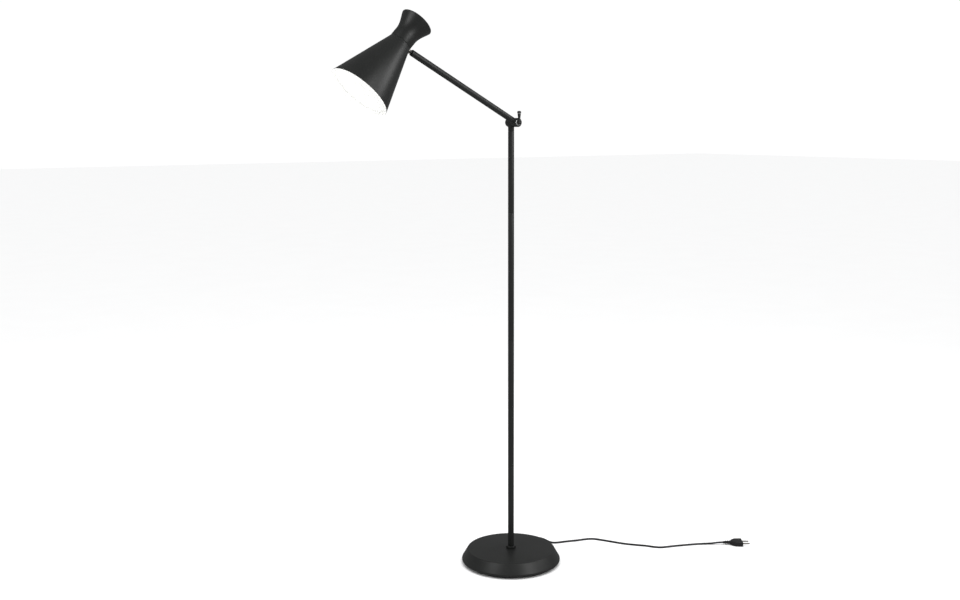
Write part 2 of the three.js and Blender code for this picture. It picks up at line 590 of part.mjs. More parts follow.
// From the lower far run of the hank along the floor to the plug.
const PLUG_U = 600;
const PLUG_V = 140;
const PLUG_Z = 6.9;
const leadOut = [
  onHank(53.2, 25, LOWER), at(81, 175.3, LOWER), at(90, 170.5, REST + 0.4), at(97.5, 163.5, REST),
  at(103, 155.5, REST), at(108.5, 147.5, REST), at(116, 141.5, REST), at(126, 139.8, REST),
  at(138, 143, REST), at(151, 148, REST), at(168, 153.5, REST), at(188, 159.5, REST), at(208, 167.5, REST),
  at(226, 172.5, REST), at(241, 171.5, REST), at(256, 165.5, REST), at(289, 150, REST),
  at(322, 135, REST), at(356, 125.5, REST), at(382, 119.5, REST), at(402, 111.5, REST),
  at(418, 108.5, REST), at(434, 111.5, REST), at(457, 119, REST), at(492, 128.5, REST),
  at(528, 137, REST), at(554, 139.6, REST + 0.5), at(572, PLUG_V, 4.2), at(588, PLUG_V, 6.3),
  at(PLUG_U - GAP, PLUG_V, PLUG_Z),
];

// A racetrack outline round the ends of the hank's straight runs.
function racetrack(path, radius, shift) {
  path.absarc(HANK_END, shift, radius, -Math.PI / 2, Math.PI / 2, false);
  path.absarc(-HANK_END, shift, radius, Math.PI / 2, 1.5 * Math.PI, false);
  path.closePath();
  return path;
}

function hank() {
  const inner = HANK_TURNS[0] - CORD_D / 2;
  const near = HANK_TURNS[1] + CORD_D / 2;
  const far = HANK_TURNS[2] + CORD_D / 2;
  const shape = racetrack(new THREE.Shape(), (near + far) / 2, (far - near) / 2);
  shape.holes.push(racetrack(new THREE.Path(), inner, 0));
  return new THREE.ExtrudeGeometry(shape, { depth: 2 * CORD_D, bevelEnabled: false, curveSegments: 10 })
    .translate(0, HANK_OUT, HANK_LIFT).rotateZ(HANK_TURN);
}

// A flat strap round one side of the hank.
const TIE_T = 0.6;
const TIE_W = 10;

function hankTie(low, high) {
  const loop = (grow) => block(
    -TIE_W / 2, TIE_W / 2, HANK_OUT + low - grow, HANK_OUT + high + grow,
    HANK_LIFT - grow, HANK_LIFT + 2 * CORD_D + grow,
  );
  const inside = loop(GAP).scale(1.2, 1, 1);
  return cut(loop(GAP + TIE_T), inside).rotateZ(HANK_TURN);
}

piece(cords, 'cord_lead', cordTube(leadIn), PVC);
piece(cords, 'cord_hank', hank(), PVC);
piece(cords, 'cord_run', cordTube(leadOut), PVC);
piece(cords, 'hank_tie_near', hankTie(-HANK_TURNS[1] - CORD_D / 2, -HANK_TURNS[0] + CORD_D / 2), RUBBER);
piece(cords, 'hank_tie_far', hankTie(HANK_TURNS[0] - CORD_D / 2, HANK_TURNS[2] + CORD_D / 2), RUBBER);

// ---------------------------------------------------------------- plug
// The plug's own axes: X points out along the pins.
const plug = new THREE.Group();
plug.position.set(PLUG_U, PLUG_V, PLUG_Z);
cords.add(plug);
const PLUG_BOOT = 21;
const PLUG_L = 54;
const PLUG_W = 35.3;
const PLUG_T = 13.5;
const PIN_PITCH = 18.8;
const PIN_R = 2;

function plugBody() {
  const boot = turnedY([
    [0, 0], [3.5, 0, 0.6], [5.2, PLUG_BOOT], [6, PLUG_BOOT + 4], [0, PLUG_BOOT + 4],
  ], 20).rotateZ(-Math.PI / 2);
  const sides = outline([
    [PLUG_BOOT, -7, 2], [PLUG_BOOT + 12, -PLUG_W / 2 + 1.5, 6], [PLUG_L, -PLUG_W / 2, 2],
    [PLUG_L, PLUG_W / 2, 2], [PLUG_BOOT + 12, PLUG_W / 2 - 1.5, 6], [PLUG_BOOT, 7, 2],
  ]);
  const bevel = 1.6;
  const body = new THREE.ExtrudeGeometry(new THREE.Shape(sides), {
    depth: PLUG_T - 2 * bevel, bevelThickness: bevel, bevelSize: bevel, bevelOffset: -bevel, bevelSegments: 2,
  }).translate(0, 0, -PLUG_T / 2 + bevel);
  return join(boot, body);
}

piece(plug, 'plug_body', plugBody(), PVC);
[-1, 1].forEach((side, i) => {
  const pin = turnedY([[0, 0], [PIN_R, 0], [PIN_R, 18], [1.2, 19], [0, 19]], 12)
    .rotateZ(-Math.PI / 2).translate(PLUG_L + GAP, (side * PIN_PITCH) / 2, 0);
  piece(plug, `plug_pin_${i + 1}`, pin, STEEL);
});

export default lamp;
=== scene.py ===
"""Adjustable arm floor lamp: the looks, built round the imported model. Metres, +Z up.

The arm hangs in a plane parallel to XZ and points to -X, the clamp lever is on -Y, and the cord leaves the
back of the base.
Sizes below are in millimetres and are turned to metres where a shape is made.
"""

import math

import bpy
from mathutils import Matrix, Vector


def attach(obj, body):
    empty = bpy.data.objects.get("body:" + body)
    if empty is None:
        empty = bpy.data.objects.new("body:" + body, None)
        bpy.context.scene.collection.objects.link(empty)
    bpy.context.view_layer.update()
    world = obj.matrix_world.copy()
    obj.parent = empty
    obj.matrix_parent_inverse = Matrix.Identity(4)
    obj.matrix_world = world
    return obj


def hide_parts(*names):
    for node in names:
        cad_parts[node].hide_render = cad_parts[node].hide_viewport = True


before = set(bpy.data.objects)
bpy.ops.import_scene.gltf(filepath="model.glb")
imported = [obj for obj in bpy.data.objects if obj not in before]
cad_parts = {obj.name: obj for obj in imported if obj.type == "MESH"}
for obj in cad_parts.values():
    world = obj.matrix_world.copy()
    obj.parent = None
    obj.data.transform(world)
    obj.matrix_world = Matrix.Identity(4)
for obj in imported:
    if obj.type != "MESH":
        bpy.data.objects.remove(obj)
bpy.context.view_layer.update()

MM = 0.001
DEG = math.pi / 180
GAP = 0.3  # air between touching pieces

# ---------------------------------------- driving dimensions, as in the design
BASE_TOP = 38
BASE_TOP_R = 117.8
RIM_R = 133
RIM_Z = 12
SHEET = 1.2
FOOT_R = 121.5
FOOT_T = 4
PLATE_T = 1.5
RIM_LOW = FOOT_T + PLATE_T + 2 * GAP
LIP_R = 124.5  # inner lip of the cover, on the bottom plate
SCREW_CIRCLE = 85

TUBE_R = 8
TUBE_BORE = 7
PLUG_R = TUBE_BORE - GAP
WIRE_R = 3.5
STUD_R = 5
NUT_FLATS = 23
NUT_T = 6.6
POST_FOOT = BASE_TOP + 2 * GAP + NUT_T
POST_JOINTS = [265, 610, 951]
CLUTCH_Z = 1190
POST_TOP = CLUTCH_Z - 23

CLUTCH_R = 11.8
CLUTCH_BACK = 11.5
CLUTCH_SPLIT = -10
CLUTCH_FRONT = -33
FRICTION_T = 0.9
ARM_KNUCKLE_BACK = CLUTCH_SPLIT - FRICTION_T - 2 * GAP
SCREW_R = 3
ARM_Y = -21.2
ARM_ANGLE = 28.5
ARM_END = 358
PIVOT_S = ARM_END + 4.5
KNUCKLE_R = 4.8
KNUCKLE_T = 4.7

SHADE_ANGLE = 46.8
PIVOT_OUT = 35
PIVOT_UP = 4.6
SEAM_R = 29.2
CONE_L = 166.6
CONE_R = 82
HEM = 8
NECK_L = 71
NECK_TOP_R = 43.4
FLANGE_R = 22
RIVET_CIRCLE = 25.2
RIVET_HOLE_R = 1.8
STUD_HOLE_R = 2.8

CORD_D = 5
CORD_Z = 13
CORD_TURN = 35.4
GLAND_TURN = -15
BOOT_START = 133.7
BOOT_END = 157
HANK_RUN = 75
HANK_TURN = -6
HANK_OUT = 158.5
PLUG_U = 600
PLUG_V = 140
PLUG_Z = 6.9


# ---------------------------------------- camera, at the viewing angle of a standing observer
def add_camera():
    """A slightly long lens, three metres off to the left of the front, looking a little down."""
    back, side, height = 3.13, 35.41 * DEG, 1.1916
    yaw, tilt, roll = -0.0263, 5.8 * DEG, -0.0022
    spot = Vector((-back * math.sin(side), -back * math.cos(side), height))
    heading = side + yaw
    forward = Vector((
        math.sin(heading) * math.cos(tilt),
        math.cos(heading) * math.cos(tilt),
        -math.sin(tilt),
    ))
    turn = forward.to_track_quat("-Z", "Y").to_matrix() @ Matrix.Rotation(roll, 3, "Z")
    camera = bpy.data.objects.new("camera", bpy.data.cameras.new("camera"))
    camera.data.sensor_width = 36
    camera.data.lens = 44.48
    camera.data.shift_y = -0.06
    camera.matrix_world = Matrix.Translation(spot) @ turn.to_4x4()
    bpy.context.scene.collection.objects.link(camera)
    bpy.context.scene.camera = camera


add_camera()

# ---------------------------------------- places of the turned assemblies
CLUTCH = Matrix.Translation(Vector((0, 0, CLUTCH_Z)) * MM)
ALONG_Y = Matrix.Rotation(-90 * DEG, 4, "X")
ALONG_X = Matrix.Rotation(90 * DEG, 4, "Y")
ARM = CLUTCH @ Matrix.Rotation(ARM_ANGLE * DEG, 4, "Y") @ Matrix.Translation(Vector((0, ARM_Y, 0)) * MM)
PIVOT = ARM @ Vector((-PIVOT_S * MM, 0, 0))
SHADE_TILT = Matrix.Rotation((90 - SHADE_ANGLE) * DEG, 4, "Y")
SHADE = Matrix.Translation(PIVOT) @ SHADE_TILT @ Matrix.Translation(Vector((-PIVOT_OUT, 0, -PIVOT_UP)) * MM)
GLAND = Matrix.Rotation(GLAND_TURN * DEG, 4, "Z") @ Matrix.Translation((0, 0, CORD_Z * MM))
CORDS = Matrix.Rotation(-CORD_TURN * DEG, 4, "Z")
PLUG = CORDS @ Matrix.Translation(Vector((PLUG_U, PLUG_V, PLUG_Z)) * MM)


# ---------------------------------------- modelling helpers
def rounded(corners, closed):
    """Corners (radius, height, rounding) to points; a rounding over 0 becomes an arc."""
    points = []
    count = len(corners)
    for i, corner in enumerate(corners):
        here = Vector(corner[:2])
        radius = corner[2] if len(corner) > 2 else 0
        if not radius or (not closed and i in (0, count - 1)):
            points.append(here)
            continue
        to_last = (Vector(corners[i - 1][:2]) - here).normalized()
        to_next = (Vector(corners[(i + 1) % count][:2]) - here).normalized()
        half = to_last.angle(to_next) / 2
        middle = here + (to_last + to_next).normalized() * radius / math.sin(half)
        start = here + to_last * radius / math.tan(half) - middle
        end = here + to_next * radius / math.tan(half) - middle
        first = math.atan2(start.y, start.x)
        sweep = (math.atan2(end.y, end.x) - first + math.pi) % (2 * math.pi) - math.pi
        steps = 3 if radius < 1 else 6
        for k in range(steps + 1):
            swing = first + sweep * k / steps
            points.append(middle + Vector((math.cos(swing), math.sin(swing))) * radius)
    return points


def deselect():
    bpy.ops.object.select_all(action="DESELECT")


def settle(piece, place):
    """Puts a piece made on the Z axis in its place and leaves its object at the origin, unturned."""
    bpy.context.view_layer.update()
    piece.matrix_world = place @ piece.matrix_world
    deselect()
    piece.select_set(True)
    bpy.context.view_layer.objects.active = piece
    bpy.ops.object.transform_apply(location=True, rotation=True, scale=True)
    return piece


def smooth(piece, angle=32):
    deselect()
    piece.select_set(True)
    bpy.context.view_layer.objects.active = piece
    bpy.ops.object.shade_smooth_by_angle(angle=angle * DEG)
    return piece


def turned(name, corners, sides=64, closed=False):
    """A ring, if closed, or a solid turned about Z. Its outline runs up the outside, in millimetres."""
    points = [p * MM for p in rounded(corners, closed)]
    points = [p for p in points if p.x > 1e-6]
    deselect()
    bpy.ops.mesh.primitive_circle_add(vertices=sides, radius=points[0].x, location=(0, 0, points[0].y))
    piece = bpy.context.object
    piece.name = piece.data.name = name
    bpy.ops.object.transform_apply(location=True, rotation=False, scale=False)
    bpy.ops.object.mode_set(mode="EDIT")
    bpy.ops.mesh.select_mode(type="EDGE")
    bpy.ops.mesh.select_all(action="SELECT")
    route = points + points[:1] if closed else points
    for last, here in zip(route, route[1:]):
        bpy.ops.mesh.extrude_region_move(TRANSFORM_OT_translate={"value": (0, 0, here.y - last.y)})
        grow = here.x / last.x
        bpy.ops.transform.resize(value=(grow, grow, 1), center_override=(0, 0, here.y))
    bpy.ops.mesh.select_all(action="SELECT")
    if closed:
        bpy.ops.mesh.remove_doubles(threshold=2e-6)
    else:
        bpy.ops.mesh.fill_holes(sides=0)
    bpy.ops.mesh.select_all(action="SELECT")
    bpy.ops.mesh.normals_make_consistent(inside=False)
    bpy.ops.object.mode_set(mode="OBJECT")
    return piece


def bar(name, radius, low, high, sides=48, bore=0):
    """A plain round bar or, with a bore, a tube, along Z."""
    if bore:
        return turned(name, [(bore, low), (radius, low), (radius, high), (bore, high)], sides, closed=True)
    return turned(name, [(radius, low), (radius, high)], sides)


def block(name, x0, x1, y0, y1, z0, z1):
    deselect()
    middle = Vector((x0 + x1, y0 + y1, z0 + z1)) / 2 * MM
    bpy.ops.mesh.primitive_cube_add(size=1, location=middle)
    piece = bpy.context.object
    piece.name = piece.data.name = name
    piece.scale = Vector((x1 - x0, y1 - y0, z1 - z0)) * MM
    return settle(piece, Matrix())


def nut(name, flats, low, high, bore):
    """A hexagon nut along Z, flats square to X, with a round bore."""
    deselect()
    corner = flats / 2 / math.cos(30 * DEG)
    middle = (low + high) / 2 * MM
    bpy.ops.mesh.primitive_cylinder_add(
        vertices=6, radius=corner * MM, depth=(high - low) * MM, location=(0, 0, middle))
    piece = bpy.context.object
    piece.name = piece.data.name = name
    settle(piece, Matrix())
    combine(piece, "DIFFERENCE", bar("tool", bore, low - 1, high + 1))
    return piece


def combine(piece, operation, *tools):
    """Cuts, joins or intersects a piece with other solids, which are used up."""
    for tool in tools:
        deselect()
        piece.select_set(True)
        bpy.context.view_layer.objects.active = piece
        bpy.ops.object.modifier_add(type="BOOLEAN")
        modifier = piece.modifiers[-1]
        modifier.operation = operation
        modifier.solver = "EXACT"
        modifier.object = tool
        bpy.ops.object.modifier_apply(modifier=modifier.name)
        mesh = tool.data
        bpy.data.objects.remove(tool)
        bpy.data.meshes.remove(mesh)
    return piece


def soften(piece, width, angle=40, segments=2):
    """Breaks the sharp edges, as tumbling or a moulding tool does."""
    deselect()
    piece.select_set(True)
    bpy.context.view_layer.objects.active = piece
    bpy.ops.object.modifier_add(type="BEVEL")
    modifier = piece.modifiers[-1]
    modifier.width = width * MM
    modifier.segments = segments
    modifier.limit_method = "ANGLE"
    modifier.angle_limit = angle * DEG
    modifier.use_clamp_overlap = True
    bpy.ops.object.modifier_apply(modifier=modifier.name)
    return piece


def around(count, radius, start):
    """Places on a circle, in millimetres."""
    angles = [start + 360 * i / count for i in range(count)]
    return [(radius * math.cos(a * DEG), radius * math.sin(a * DEG)) for a in angles]


def shift(x, y, z):
    return Matrix.Translation(Vector((x, y, z)) * MM)


# ---------------------------------------- materials
def colour(code):
    """An sRGB hex colour as linear RGBA."""
    parts = [int(code[i:i + 2], 16) / 255 for i in (0, 2, 4)]
    return tuple(c / 12.92 if c <= 0.04045 else ((c + 0.055) / 1.055) ** 2.4 for c in parts) + (1,)


def add(tree, kind, links=None, values=None, **settings):
    """Adds a shader node: its own settings, then values and links for its sockets."""
    node = tree.nodes.new("ShaderNode" + kind)
    for key, value in settings.items():
        setattr(node, key, value)
    for key, value in (values or {}).items():
        node.inputs[key].default_value = value
    for key, socket in (links or {}).items():
        tree.links.new(socket, node.inputs[key])
    return node


def surface(name, tint, deep, roughness, spread, grain, bump, drift=40, metallic=0, ior=1.5, specular=0.5):
    """A surface whose colour drifts slowly from tint to deep, with varying gloss and a fine relief.

    grain, drift and bump are in millimetres: the size of the fine pattern, the size of the slow one and the
    depth of the relief. spread is how far the roughness varies.
    """
    material = bpy.data.materials.new(name)
    material.use_nodes = True
    tree = material.node_tree
    tree.nodes.clear()
    place = add(tree, "TexCoord").outputs["Object"]
    slow = add(tree, "TexNoise", {"Vector": place}, {
        "Scale": 1 / (drift * MM), "Detail": 3, "Roughness": 0.55})
    fine = add(tree, "TexNoise", {"Vector": place}, {
        "Scale": 1 / (grain * MM), "Detail": 2, "Roughness": 0.6})
    mixed = add(tree, "ValToRGB", {"Fac": slow.outputs["Fac"]})
    mixed.color_ramp.elements[0].position = 0.35
    mixed.color_ramp.elements[0].color = colour(deep)
    mixed.color_ramp.elements[1].position = 0.65
    mixed.color_ramp.elements[1].color = colour(tint)
    gloss = add(tree, "MapRange", {"Value": fine.outputs["Fac"]}, {
        "From Min": 0.3, "From Max": 0.7, "To Min": roughness - spread, "To Max": roughness + spread})
    relief = add(tree, "Bump", {"Height": fine.outputs["Fac"]}, {"Strength": 1, "Distance": bump * MM})
    shader = add(tree, "BsdfPrincipled", {
        "Base Color": mixed.outputs["Color"],
        "Roughness": gloss.outputs["Result"],
        "Normal": relief.outputs["Normal"],
    }, {"Metallic": metallic, "IOR": ior, "Specular IOR Level": specular})
    out = add(tree, "OutputMaterial", {"Surface": shader.outputs["BSDF"]})
    out.location = (300, 0)
    return material


# Fine-textured polyester powder coat, near black: a dull broad highlight with a faint grain.
POWDER = surface("powder_coat_black", "1c1d1c", "181918", 0.42, 0.04, 1.1, 0.01, drift=70)
# The same coat, thinner over the spun sheet.
POWDER_SHADE = surface("powder_coat_spun_shade", "1c1d1c", "181918", 0.4, 0.04, 1.1, 0.008, drift=60)
# Baked white enamel inside the shade: bright, slightly satin.
ENAMEL = surface("white_enamel_satin", "fafaf8", "f8f8f6", 0.5, 0.02, 2.2, 0.001, drift=80)
# Bright zinc plate on turned or stamped steel.
ZINC = surface("zinc_plated_steel", "c9cbca", "b0b3b3", 0.3, 0.08, 0.8, 0.006, drift=6, metallic=1)
# Nickel plate on turned steel, satin.
NICKEL = surface("nickel_plated_steel", "c6c2ba", "b3aea5", 0.28, 0.06, 0.9, 0.005, drift=8, metallic=1)
# Sand-cast grey iron: rough, dark and dull.
IRON = surface("sand_cast_iron", "55534f", "3d3c3a", 0.75, 0.12, 1.8, 0.12, drift=14, metallic=0.6)
# Moulded black rubber: matt, slightly dusty.
RUBBER = surface("moulded_rubber", "1d1d1d", "161616", 0.82, 0.06, 0.9, 0.02, drift=25)
# Extruded soft PVC jacket: dull sheen.
JACKET = surface("soft_pvc_jacket", "1b1b1b", "151515", 0.4, 0.06, 2.2, 0.02, drift=30, ior=1.53)
# Moulded hard PVC of the plug, lightly spark-eroded.
PLUG_PVC = surface("moulded_pvc_plug", "1e1e1e", "181818", 0.48, 0.06, 0.8, 0.02, drift=20, ior=1.53)
# Black nylon, fine moulded texture.
NYLON = surface("moulded_nylon_black", "262626", "1f1f1f", 0.5, 0.06, 0.9, 0.02, drift=18, ior=1.53)
# White heat-proof polyester of the lampholder.
HOLDER = surface("moulded_polyester_white", "ecebe5", "e3e2db", 0.35, 0.05, 1.2, 0.008, drift=20)
# Glazed steatite.
CERAMIC = surface("glazed_steatite", "e8e4da", "dedacf", 0.22, 0.05, 1.5, 0.01, drift=15)
# Satin opal diffuser.
OPAL = surface("opal_diffuser", "f6f5ef", "f0efe8", 0.3, 0.03, 1.5, 0.004, drift=30)
# Turned brass, slightly dulled.
BRASS = surface("turned_brass", "c9a860", "b08e49", 0.3, 0.08, 0.9, 0.006, drift=7, metallic=1)


def finish(piece, material, body, slot, *nodes):
    """Gives a new piece its finish and its place in the frame, and hides the solids that it stands for."""
    piece.data.materials.clear()
    piece.data.materials.append(material)
    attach(piece, body)
    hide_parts(*nodes)
    return piece


# ---------------------------------------- mains cord, first because its room is tested
REST = CORD_D / 2 + 0.05
LOWER = 1 + CORD_D / 2
UPPER = LOWER + CORD_D
HANK_END = HANK_RUN / 2


def out_of_wall(distance, z):
    angle = (90 + GLAND_TURN + CORD_TURN) * DEG
    return (distance * math.cos(angle), distance * math.sin(angle), z)


def on_hank(along, across, z):
    turn = HANK_TURN * DEG
    u, v = along, HANK_OUT + across
    return (u * math.cos(turn) - v * math.sin(turn), u * math.sin(turn) + v * math.cos(turn), z)


def half_turn(side, first, last, from_z, to_z):
    """One round end of the hank, clockwise from above; radius and height run from first value to last."""
    route = []
    for k in range(7):
        part = k / 6
        swing = (90 - 180 * part) * DEG if side > 0 else (-90 - 180 * part) * DEG
        radius = first + (last - first) * part
        route.append(on_hank(
            side * HANK_END + radius * math.cos(swing),
            radius * math.sin(swing),
            from_z + (to_z - from_z) * part,
        ))
    return route


def hank_route():
    """Up on the outer turn, in to the inner one, down a layer, and out again."""
    route = half_turn(1, 20, 20, UPPER, UPPER)
    route += half_turn(-1, 20, 15, UPPER, UPPER)
    route += half_turn(1, 15, 15, UPPER, UPPER)
    route += half_turn(-1, 15, 15, UPPER, LOWER)
    route += half_turn(1, 15, 15, LOWER, LOWER)
    route += half_turn(-1, 15, 20, LOWER, LOWER)
    route += half_turn(1, 20, 20, LOWER, LOWER)
    route += half_turn(-1, 20, 25, LOWER, LOWER)
    return route


lead_in = [
    out_of_wall(BOOT_END + GAP, CORD_Z), out_of_wall(BOOT_END + 6, CORD_Z - 0.2), (-58.4, 156.6, 12),
    (-59.6, 163.6, 10.4), (-57.6, 172.1, 9.1), (-52.4, 178.9, 8.6), (-46, 182.6, UPPER),
    on_hank(0, 20, UPPER),
]
lead_out = [
    on_hank(0, 25, LOWER), on_hank(53.2, 25, LOWER),
    (81, 175.3, LOWER), (90, 170.5, REST + 0.4), (97.5, 163.5, REST),
    (103, 155.5, REST), (108.5, 147.5, REST), (116, 141.5, REST), (126, 139.8, REST),
    (138, 143, REST), (151, 148, REST), (168, 153.5, REST), (188, 159.5, REST), (208, 167.5, REST),
    (226, 172.5, REST), (241, 171.5, REST), (256, 165.5, REST), (289, 150, REST),
    (322, 135, REST), (356, 125.5, REST), (382, 119.5, REST), (402, 111.5, REST),
    (418, 108.5, REST), (434, 111.5, REST), (457, 119, REST), (492, 128.5, REST),
    (528, 137, REST), (554, 139.6, REST + 0.5), (572, PLUG_V, 4.2), (588, PLUG_V, 6.3),
    (PLUG_U - GAP, PLUG_V, PLUG_Z),
]


def mains_cord():
    route = [CORDS @ (Vector(p) * MM) for p in lead_in + hank_route() + lead_out]
    curve = bpy.data.curves.new("mains_cord", "CURVE")
    curve.dimensions = "3D"
    curve.bevel_depth = CORD_D / 2 * MM
    curve.bevel_resolution = 5
    curve.resolution_u = 6
    curve.use_fill_caps = True
    spline = curve.splines.new("BEZIER")
    spline.bezier_points.add(len(route) - 1)
    for point, place in zip(spline.bezier_points, route):
        point.co = place
        point.handle_left_type = point.handle_right_type = "AUTO"
    cord = bpy.data.objects.new("mains_cord", curve)
    bpy.context.scene.collection.objects.link(cord)
    return cord


cord = finish(mains_cord(), JACKET, "stand", "black_pvc", "cord_lead", "cord_hank", "cord_run")


def plug_body():
    """A flat two-pin plug: the flared grip, and a round boot that the cord enters."""
    boot, length, width, thick = 21, 54, 35.3, 13.5
    body = block("plug", boot + 12, length, -width / 2, width / 2, -thick / 2, thick / 2)
    bpy.ops.object.mode_set(mode="EDIT")
    bpy.ops.mesh.select_mode(type="FACE")
    bpy.ops.mesh.select_all(action="DESELECT")
    bpy.ops.object.mode_set(mode="OBJECT")
    for face in body.data.polygons:
        face.select = face.normal.x < -0.9
    bpy.ops.object.mode_set(mode="EDIT")
    waist = (boot + 12) * MM
    bpy.ops.transform.resize(value=(1, 1 - 3 / width, 1), center_override=(waist, 0, 0))
    bpy.ops.mesh.extrude_region_move(TRANSFORM_OT_translate={"value": (-12 * MM, 0, 0)})
    bpy.ops.transform.resize(value=(1, 14 / (width - 3), 0.86), center_override=(boot * MM, 0, 0))
    bpy.ops.object.mode_set(mode="OBJECT")
    soften(body, 2.6, segments=5, angle=20)
    ribs = [(5.1 if i % 2 else 4.3) for i in range(6)]
    outline = [(3.2, 0), (3.6, 0.6)]
    for i, radius in enumerate(ribs):
        outline += [(radius * 0.84 + i * 0.18, 3 + 3 * i), (radius * 0.84 + i * 0.18, 5.2 + 3 * i)]
    outline += [(5.6, boot + 1), (5.8, boot + 4)]
    sleeve = settle(turned("sleeve", [(r, z, 0.3) for r, z in outline], 48), ALONG_X)
    combine(body, "UNION", sleeve)
    return smooth(settle(body, PLUG))


plug = finish(plug_body(), PLUG_PVC, "stand", "black_pvc", "plug_body")

# ---------------------------------------- strain relief
rings = []
for i in range(5):
    far = BOOT_START + 4.5 + 4.2 * i
    radius = 5.5 - 0.4 * i
    rings += [
        (radius, far, 0.3), (radius - 0.1, far + 2.4, 0.3),
        (radius - 0.8, far + 2.6, 0.2), (radius - 0.8, far + 4, 0.2)]
boot = turned("cord_boot_moulded", [
    (4.6, BOOT_START - 16), (4.6, BOOT_START - 11.4),
    (6.9, BOOT_START - 11.4, 0.4), (6.9, BOOT_START - 9.6, 0.4),
    (5, BOOT_START - 9.6), (5, BOOT_START), (7.4, BOOT_START, 0.5), (7.4, BOOT_START + 1.8, 0.7),
    (5.6, BOOT_START + 2.2, 0.5), *rings[:-2], (3.3, BOOT_END, 0.5), (2.4, BOOT_END)], 40)
finish(smooth(settle(boot, GLAND @ ALONG_Y)), JACKET, "stand", "black_pvc", "cord_boot")

# ---------------------------------------- base
cover = turned("base_cover", [
    (LIP_R, RIM_LOW), (RIM_R, RIM_LOW, 4), (RIM_R, RIM_Z, 3), (BASE_TOP_R, BASE_TOP, 3),
    (STUD_R + 0.4, BASE_TOP), (STUD_R + 0.4, BASE_TOP - SHEET),
    (BASE_TOP_R - 0.8, BASE_TOP - SHEET, 2), (RIM_R - SHEET, RIM_Z - 0.3, 2),
    (RIM_R - SHEET, RIM_LOW + SHEET, 2.8), (LIP_R, RIM_LOW + SHEET)], 192, closed=True)
combine(cover, "DIFFERENCE", settle(bar("tool", 5.3, BOOT_START - 16, BOOT_START + 8), GLAND @ ALONG_Y))
finish(smooth(cover), POWDER, "stand", "black_coat", "base_shell")

foot = turned("foot_disc", [(FOOT_R - 1, 0), (FOOT_R, 0.8), (FOOT_R, FOOT_T)], 160)
combine(foot, "DIFFERENCE", *(
    settle(bar("tool", 4.4, 1, FOOT_T + 1, 24), shift(x, y, 0)) for x, y in around(3, SCREW_CIRCLE, 30)))
finish(smooth(foot), RUBBER, "stand", "black_rubber", "foot_pad")

# ---------------------------------------- post
low = BASE_TOP + GAP
corner = NUT_FLATS / 2 / math.cos(30 * DEG)
post_nut = nut("post_locknut", NUT_FLATS, low, low + NUT_T, STUD_R + GAP)
combine(post_nut, "INTERSECT", turned("tool", [
    (corner + 1, low), (corner + 1, low + NUT_T - 2.2), (corner - 2.6, low + NUT_T)], 96))
finish(smooth(soften(post_nut, 0.3)), POWDER, "stand", "black_coat", "post_nut")

cuts = [POST_FOOT, *POST_JOINTS, POST_TOP]
for i, (low, high) in enumerate(zip(cuts, cuts[1:])):
    low += GAP / 2 if i else 0
    high -= GAP / 2
    tube = turned(f"post_section_{i + 1}", [
        (TUBE_BORE, low), (TUBE_R, low, 0.35), (TUBE_R, high, 0.35), (TUBE_BORE, high)], 64, closed=True)
    finish(smooth(tube), POWDER, "stand", "black_coat", f"post_tube_{i + 1}")

# ---------------------------------------- clutch
low = POST_TOP - CLUTCH_Z
barrel = turned("post_head", [
    (SCREW_R + GAP, CLUTCH_SPLIT), (CLUTCH_R, CLUTCH_SPLIT, 0.5),
    (CLUTCH_R, CLUTCH_BACK, 1.2), (7.2, CLUTCH_BACK),
    (7.2, CLUTCH_BACK - 5), (SCREW_R + GAP, CLUTCH_BACK - 5)], 80, closed=True)
settle(barrel, ALONG_Y)
shank = turned("shank", [
    (PLUG_R, low - 22), (PLUG_R, low + GAP / 2), (TUBE_R, low + GAP / 2, 0.35), (TUBE_R, -4)], 64)
combine(shank, "DIFFERENCE", settle(bar("tool", CLUTCH_R - 0.5, -30, 30), ALONG_Y))
combine(barrel, "UNION", shank)
combine(barrel, "DIFFERENCE", bar("tool", WIRE_R, low - 23, -6))
finish(smooth(settle(barrel, CLUTCH)), POWDER, "stand", "black_coat", "post_knuckle")

cap = turned("clutch_back_cap", [
    (6.9, CLUTCH_BACK - 0.5), (6.9, CLUTCH_BACK + GAP), (CLUTCH_R - 1.2, CLUTCH_BACK + GAP, 0.2),
    (CLUTCH_R - 1.4, CLUTCH_BACK + 1.5, 0.8), (7, CLUTCH_BACK + 1.7, 2), (2, CLUTCH_BACK + 1.8)], 64)
finish(smooth(settle(cap, CLUTCH @ ALONG_Y)), NYLON, "stand", "black_nylon", "back_cap")

head = turned("arm_head", [
    (SCREW_R + GAP, CLUTCH_FRONT + 0.8), (9.4, CLUTCH_FRONT + 0.8), (9.4, CLUTCH_FRONT, 0.2),
    (CLUTCH_R - 1.6, CLUTCH_FRONT, 0.3), (CLUTCH_R, CLUTCH_FRONT + 1.6, 0.3),
    (CLUTCH_R, ARM_KNUCKLE_BACK, 0.5),
    (SCREW_R + GAP, ARM_KNUCKLE_BACK)], 80, closed=True)
settle(head, CLUTCH @ ALONG_Y)
spigot = settle(bar("spigot", PLUG_R, -34, -6), ARM @ ALONG_X)
barrel_room = settle(bar("tool", CLUTCH_R - 0.5, CLUTCH_FRONT, ARM_KNUCKLE_BACK), CLUTCH @ ALONG_Y)
combine(spigot, "DIFFERENCE", barrel_room)
combine(head, "UNION", spigot)
finish(smooth(head), POWDER, "arm", "black_coat", "arm_knuckle")

